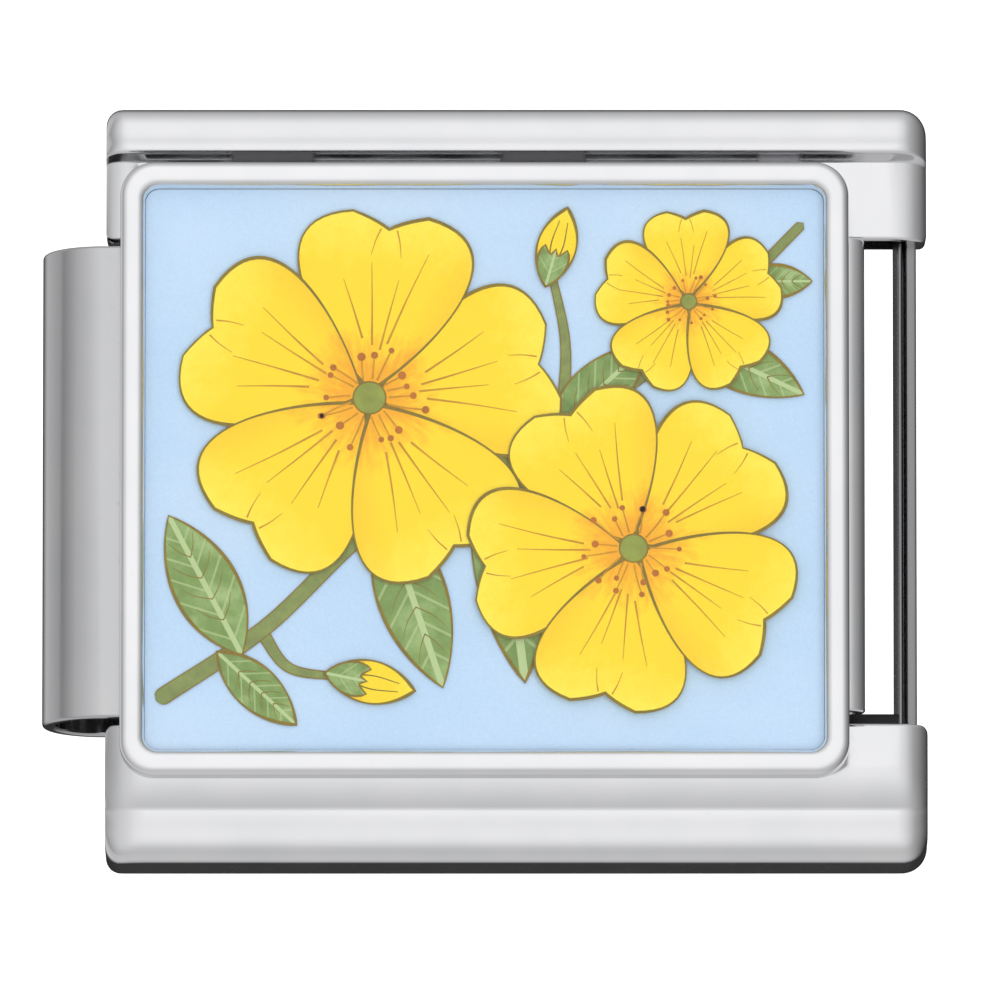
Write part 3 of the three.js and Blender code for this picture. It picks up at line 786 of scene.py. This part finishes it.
class Drawing:
    """Thin printed shapes, stacked in the layer of one CAD node, with one object for each ink."""

    def __init__(self, node):
        low, high = mm_box(node)
        self.node, self.bottom, self.top = node, low[2], high[2]
        self.level = low[2] + 0.012
        self.inks = {}

    def rise(self, step):
        """Later shapes lie higher by a step, and never above the layer."""
        self.level = min(self.level + step, self.top - 2 * INK)

    def shape(self, kind, outline, local, raised=0.0):
        """A closed outline as a thin plate; local gives (along, across, shade) for each point."""
        vertices, faces, values = self.inks.setdefault(kind, ([], [], []))
        first, count = len(vertices), len(outline)
        for z in (self.bottom, self.level + raised):
            vertices.extend((x, y, z) for x, y in outline)
            values.extend(local)
        faces.append(tuple(range(first, first + count)))
        faces.append(tuple(range(first + count, first + 2 * count)))
        for i in range(count):
            j = (i + 1) % count
            faces.append((first + i, first + j, first + count + j, first + count + i))

    def stroke(self, kind, points, widths, raised=INK, closed=False):
        """A line of ink along points, with its own width at each."""
        vertices, faces, values = self.inks.setdefault(kind, ([], [], []))
        first, count = len(vertices), len(points)
        normals = path_normals(points, closed)
        for z in (self.level - INK, self.level + raised):
            for side in (0.5, -0.5):
                for (x, y), (nx, ny), width in zip(points, normals, widths):
                    vertices.append((x + nx * width * side, y + ny * width * side, z))
                    values.append((0, 0, 0))

        def at(ring, i):
            return first + ring * count + i % count

        for i in range(count if closed else count - 1):
            for a, b in ((0, 1), (1, 3), (3, 2), (2, 0)):
                faces.append((at(a, i), at(a, i + 1), at(b, i + 1), at(b, i)))
        if not closed:
            for i in (0, count - 1):
                faces.append((at(0, i), at(1, i), at(3, i), at(2, i)))

    def dot(self, kind, centre, radius, raised, sides=12):
        """A small round spot."""
        outline = arc(centre, radius, 0, 360 - 360 / sides, sides - 1)
        self.shape(kind, outline, [(0, 0, 0)] * sides, raised)

    def make(self, stands_for):
        """Turns each ink into a piece. One of them stands for the CAD node."""
        for kind, (vertices, faces, values) in self.inks.items():
            material, slot = PRINTS[kind]
            obj = mesh_object(f"{self.node}_{kind}", vertices, faces, values)
            obj.data.shade_flat()
            finish(obj, material, slot, "face", *([self.node] if kind == stands_for else []))


def bezier(start, first, second, end, steps):
    """Points of a cubic curve without its last one."""
    corners = [Vector((x, y, 0)) for x, y in (start, first, second, end)]
    return [(p.x, p.y) for p in interpolate_bezier(*corners, steps + 1)][:-1]


def quadratic(start, control, end, steps):
    """Points of a quadratic curve without its last one."""
    first = [s + (c - s) * 2 / 3 for s, c in zip(start, control)]
    second = [e + (c - e) * 2 / 3 for e, c in zip(end, control)]
    return bezier(start, first, second, end, steps)


def smooth_route(points, per_span=10):
    """A centripetal curve through points, with its first and last point kept."""
    ends = [Vector(p) for p in points]
    ends = [2 * ends[0] - ends[1]] + ends + [2 * ends[-1] - ends[-2]]
    route = []
    for a, b, c, d in zip(ends, ends[1:], ends[2:], ends[3:]):
        t1, t2, t3 = [(q - p).length ** 0.5 for p, q in ((a, b), (b, c), (c, d))]
        start = (b - a) / t1 - (c - a) / (t1 + t2) + (c - b) / t2
        end = (c - b) / t2 - (d - b) / (t2 + t3) + (d - c) / t3
        route += bezier(b, b + start * t2 / 3, c - end * t2 / 3, c, per_span)
    return route + [tuple(points[-1])]


def taper(count, foot, tip):
    return [foot + (tip - foot) * i / (count - 1) for i in range(count)]


def rounded_ends(route, widths):
    """Widths of a stroke that closes in a half round at both ends."""
    gone = [0.0]
    for a, b in zip(route, route[1:]):
        gone.append(gone[-1] + math.dist(a, b))
    closed = []
    for way, width in zip(gone, widths):
        near = min(way, gone[-1] - way) / (width / 2)
        closed.append(width * max(math.sqrt(max(1 - (1 - near) ** 2, 0)), 0.05) if near < 1 else width)
    return closed


def outline_widths(count, width, seed):
    """Widths of a hand-drawn outline, swelling and thinning as it goes round."""
    turn = random.Random(seed).uniform(0, 6)
    return [width * (1 + 0.35 * math.sin(turn + 4 * math.pi * i / count)) for i in range(count)]


def local_of(outline, at, angle, size, shade):
    """(along, across, shade) of each point, in shares of a size, from the shape's own foot."""
    c, s = math.cos(angle), math.sin(angle)
    offsets = [((x - at[0]) / size, (y - at[1]) / size) for x, y in outline]
    return [(x * c + y * s, y * c - x * s, shade) for x, y in offsets]


def leaf_points(at, length, width, angle):
    """Outline of a pointed leaf, and a call that turns its own (along, across) into the plan."""
    c, s = math.cos(angle), math.sin(angle)

    def along(u, v):
        return (at[0] + u * c - v * s, at[1] + u * s + v * c)

    foot, tip = along(-0.12, 0), along(length, 0)
    belly, shoulder = (0.25 * length, 0.75 * width), (0.7 * length, 0.6 * width)
    outline = bezier(foot, along(*belly), along(*shoulder), tip, 22)
    outline += bezier(tip, along(shoulder[0], -shoulder[1]), along(belly[0], -belly[1]), foot, 22)
    return outline, along


def draw_leaf(drawing, index, at, length, width, angle):
    outline, along = leaf_points(at, length, width, angle)
    drawing.rise(0.002)
    drawing.shape("leaf", outline, local_of(outline, at, angle, length, index * 0.37))
    drawing.stroke("line", outline, outline_widths(len(outline), LINE, index), closed=True)
    for u, side in [(u, side) for u in (0.2, 0.36, 0.52, 0.68) for side in (1, -1)]:
        reach = side * 0.36 * width * math.sin(math.pi * min(u + 0.12, 1))
        places = [(u, 0), (u + 0.07, reach * 0.6), (u + 0.15, reach)]
        vein = smooth_route([along(length * a, b) for a, b in places], 4)
        drawing.stroke("line", vein, taper(len(vein), 0.014, 0.006))


def draw_branch():
    drawing = Drawing("printed_branch")
    lines = [(smooth_route(points, 40), TWIG_WIDTH * 0.7) for points in BUD_STALKS]
    lines.append((smooth_route(TWIG_ROUTE, 50), TWIG_WIDTH))
    for route, width in lines:
        widths = taper(len(route), 1.2 * width, 0.6 * width)
        drawing.stroke("line", route, rounded_ends(route, [w + LINE for w in widths]), 0)
        drawing.stroke("stalk", route, rounded_ends(route, widths))
        drawing.rise(1.5 * INK)
    for index, leaf in enumerate(LEAVES):
        draw_leaf(drawing, index, *leaf)
    drawing.make("leaf")


def draw_bud(node, at, length, width, angle):
    """A closed bud: petals folded over each other in a green cup."""
    outline, along = leaf_points(at, length, width, angle)
    drawing = Drawing(node)
    drawing.shape("petal", outline, local_of(outline, at, angle, length * 1.1, 0.2))
    drawing.stroke("line", outline, outline_widths(len(outline), LINE, 3), closed=True)
    for side in (1, -1):
        places = [(0.12, side * 0.02), (0.45, side * 0.16 * width), (0.8, side * 0.05)]
        fold = smooth_route([along(length * u, v) for u, v in places], 6)
        drawing.stroke("line", fold, taper(len(fold), 0.022, 0.01))
    drawing.rise(0.003)
    half = [(-0.12, 0), (0.02, 0.42), (0.3, 0.5), (0.42, 0.3), (0.3, 0.12), (0.26, 0.1), (0.4, 0)]
    upper = [along(u * (length if u > 0 else 1), v * width) for u, v in half]
    lower = [along(u * (length if u > 0 else 1), -v * width) for u, v in reversed(half)]
    cup = bezier(*upper[:4], 8) + bezier(*upper[3:], 5) + bezier(*lower[:4], 5) + bezier(*lower[3:], 8)
    drawing.shape("leaf", cup, local_of(cup, at, angle, length, 0.6))
    drawing.stroke("line", cup, [LINE * 0.8] * len(cup), closed=True)
    drawing.make("petal")


def petal_points(centre, angle, radius):
    """Outline of one petal with a notch in its round tip, and a call for points in it."""
    half_angle = math.pi / PETALS

    def point(r, a):
        turned = angle + a * half_angle
        return (centre[0] + r * radius * math.cos(turned), centre[1] + r * radius * math.sin(turned))

    outline = bezier(point(0.04, 0), point(0.4, 1.3), point(1.16, 1.12), point(1, 0.32), 26)
    outline += quadratic(point(1, 0.32), point(0.95, 0.12), point(0.9, 0), 5)
    outline += quadratic(point(0.9, 0), point(0.95, -0.12), point(1, -0.32), 5)
    outline += bezier(point(1, -0.32), point(1.16, -1.12), point(0.4, -1.3), point(0.04, 0), 26)
    return outline, point


def draw_blossom(node, centre, radius, turn):
    """Overlapping petals with drawn folds, and a crown of stamens about a green middle."""
    drawing = Drawing(node)
    chance = random.Random(node)
    size = radius / LARGE_BLOSSOM
    for i in range(PETALS):
        angle = turn + 2 * math.pi * i / PETALS
        outline, point = petal_points(centre, angle, radius)
        drawing.rise(0.0022)
        drawing.shape("petal", outline, local_of(outline, centre, angle, radius, i * 1.7))
        widths = outline_widths(len(outline), LINE * (0.7 + 0.3 * size), i)
        drawing.stroke("line", outline, widths, closed=True)
        for a, start, end in ((-0.42, 0.3, 0.78), (-0.15, 0.26, 0.66), (0.14, 0.28, 0.74), (0.44, 0.32, 0.7)):
            a += chance.uniform(-0.04, 0.04)
            end += chance.uniform(-0.06, 0.05)
            fold = smooth_route([point(start, a * 0.8), point((start + end) / 2, a), point(end, a * 1.12)], 7)
            drawing.stroke("shade", fold, taper(len(fold), 0.028 * size, 0.008))
        for a in (-0.3, 0.3):
            crease = smooth_route([point(0.9, a * 0.25), point(0.84, a * 0.4), point(0.76, a * 0.55)], 4)
            drawing.stroke("shade", crease, taper(len(crease), 0.02 * size, 0.007))
    drawing.rise(0.0015)
    middle = arc(centre, 0.085 * radius, 0, 345, 23)
    drawing.shape("heart", middle, [(0, 0, 0)] * len(middle))
    drawing.stroke("line", middle, [0.02] * 24, closed=True)
    for i in range(STAMENS):
        angle = 2 * math.pi * (i + chance.uniform(-0.2, 0.2)) / STAMENS
        reach = radius * chance.uniform(0.2, 0.31)
        bend = chance.uniform(-0.18, 0.18)
        ends = [(0.1 * radius, angle), (reach * 0.6, angle + bend * 0.4), (reach, angle + bend)]
        places = [(centre[0] + r * math.cos(t), centre[1] + r * math.sin(t)) for r, t in ends]
        thread = smooth_route(places, 4)
        drawing.stroke("shade", thread, taper(len(thread), 0.024 * size, 0.014 * size))
        drawing.dot("anther", thread[-1], 0.042 * size * chance.uniform(0.8, 1.2), 1.6 * INK)
    drawing.make("petal")


PETAL_TONES = (ink(250, 172, 2), ink(254, 218, 18), ink(255, 232, 66))
PRINTS = {
    "petal": (petal_print("petal_ink", *PETAL_TONES), "petal_print"),
    "leaf": (leaf_print("leaf_ink"), "leaf_print"),
    "line": (line_print("outline_ink", ink(142, 118, 14)), "leaf_print"),
    "shade": (line_print("shade_ink", ink(214, 150, 10)), "petal_print"),
    "stalk": (line_print("stalk_ink", ink(138, 150, 78)), "leaf_print"),
    "anther": (line_print("anther_ink", ink(196, 112, 8)), "petal_print"),
    "heart": (line_print("heart_ink", ink(150, 160, 62)), "leaf_print"),
}

sleeves()
connector_clip("connector_clip_far", 1)
connector_clip("connector_clip_near", -1)
wave_spring("lower_wave_spring", "jaw", 4, 0)
upper_spring = wave_spring("upper_wave_spring", "face", 6, -math.pi / 2)
hook_frame()
face_tray()
clear_cover()
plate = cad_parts["picture_plate"]
plate.data.materials.clear()
plate.data.materials.append(sky_print("sky_ink"))
draw_branch()
for bud, spec in BUDS.items():
    draw_bud(bud, *spec)
for blossom, spec in BLOSSOMS.items():
    draw_blossom(blossom, *spec)

spring_low, spring_high = mm_box("upper_wave_spring")
apply_modifiers(upper_spring)
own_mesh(upper_spring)


# Stage, light and camera


def stage_floor():
    """A pale floor, lit from within a little so that it stays white round the link."""
    reach = FLOOR_REACH
    corners = [(x, y, FLOOR) for x, y in ((-reach, -reach), (reach, -reach), (reach, reach), (-reach, reach))]
    floor = mesh_object("floor", corners, [(0, 1, 2, 3)])
    material, nodes = new_material("pale_floor")
    nodes.surface(Base_Color=(0.7, 0.7, 0.7), Roughness=0.8, Emission_Color=(1, 1, 1), Emission_Strength=0.7)
    floor.data.materials.append(material)
    floor.visible_glossy = False
    floor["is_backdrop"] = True


def studio_light():
    """A soft bright ceiling over a dark ground, and a lamp that brightens print and floor, not the steel."""
    world = bpy.data.worlds.new("studio")
    bpy.context.scene.world = world
    world.use_nodes = True
    nodes = Nodes(world.node_tree)
    where = nodes.tree.nodes.new("ShaderNodeTexCoord").outputs["Generated"]
    x, y, z = nodes.split(where)
    down = nodes.math("DIVIDE", nodes.math("ARCCOSINE", z), math.pi)
    lights = [nodes.ramp(down, [(at / 180, (g, g, g * 1.01)) for at, g in tones]) for tones in SURROUNDINGS]
    flat = nodes.math("SQRT", nodes.math("ADD", nodes.math("MULTIPLY", x, x), nodes.math("MULTIPLY", y, y)))
    across = nodes.math("DIVIDE", x, nodes.math("MAXIMUM", flat, 0.001))
    east = nodes.math("MULTIPLY", across, nodes.math("MAXIMUM", across, 0.0))
    west = nodes.math("MULTIPLY", across, nodes.math("MINIMUM", across, 0.0))
    front = nodes.math("MULTIPLY_ADD", nodes.math("DIVIDE", y, nodes.math("MAXIMUM", flat, 0.001)), -0.5, 0.5)
    light = nodes.mix("MIX", west, nodes.mix("MIX", front, lights[0], lights[1]), lights[2])
    light = nodes.mix("MIX", east, light, lights[3])
    background = nodes.add("ShaderNodeBackground", Color=light, Strength=1.0)
    nodes.add("ShaderNodeOutputWorld", Surface=background.outputs["Background"])
    lamp = bpy.data.objects.new("lamp", bpy.data.lights.new("lamp", "SUN"))
    lamp.data.energy = LAMP_POWER
    lamp.data.angle = LAMP_SPREAD
    lamp.rotation_euler = LAMP_TILT
    lamp.visible_glossy = False
    bpy.context.scene.collection.objects.link(lamp)


def view_camera():
    camera = bpy.data.objects.new("camera", bpy.data.cameras.new("camera"))
    bpy.context.scene.collection.objects.link(camera)
    back = Vector((0, -math.cos(VIEW_ELEVATION), math.sin(VIEW_ELEVATION)))
    camera.location = (Vector(VIEW_TARGET) + back * VIEW_DISTANCE) * MM
    camera.rotation_mode = "QUATERNION"
    camera.rotation_quaternion = (-back).to_track_quat("-Z", "Y")
    camera.data.lens = camera.data.sensor_width * VIEW_DISTANCE / VIEW_WIDTH
    camera.data.clip_start, camera.data.clip_end = 0.001, 10
    bpy.context.scene.camera = camera


stage_floor()
studio_light()
view_camera()
bpy.context.scene.view_settings.view_transform = "Standard"

boxes = {"cad": cad_box, "visual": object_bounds()}
{name: [list(corner) for corner in box] for name, box in boxes.items()}
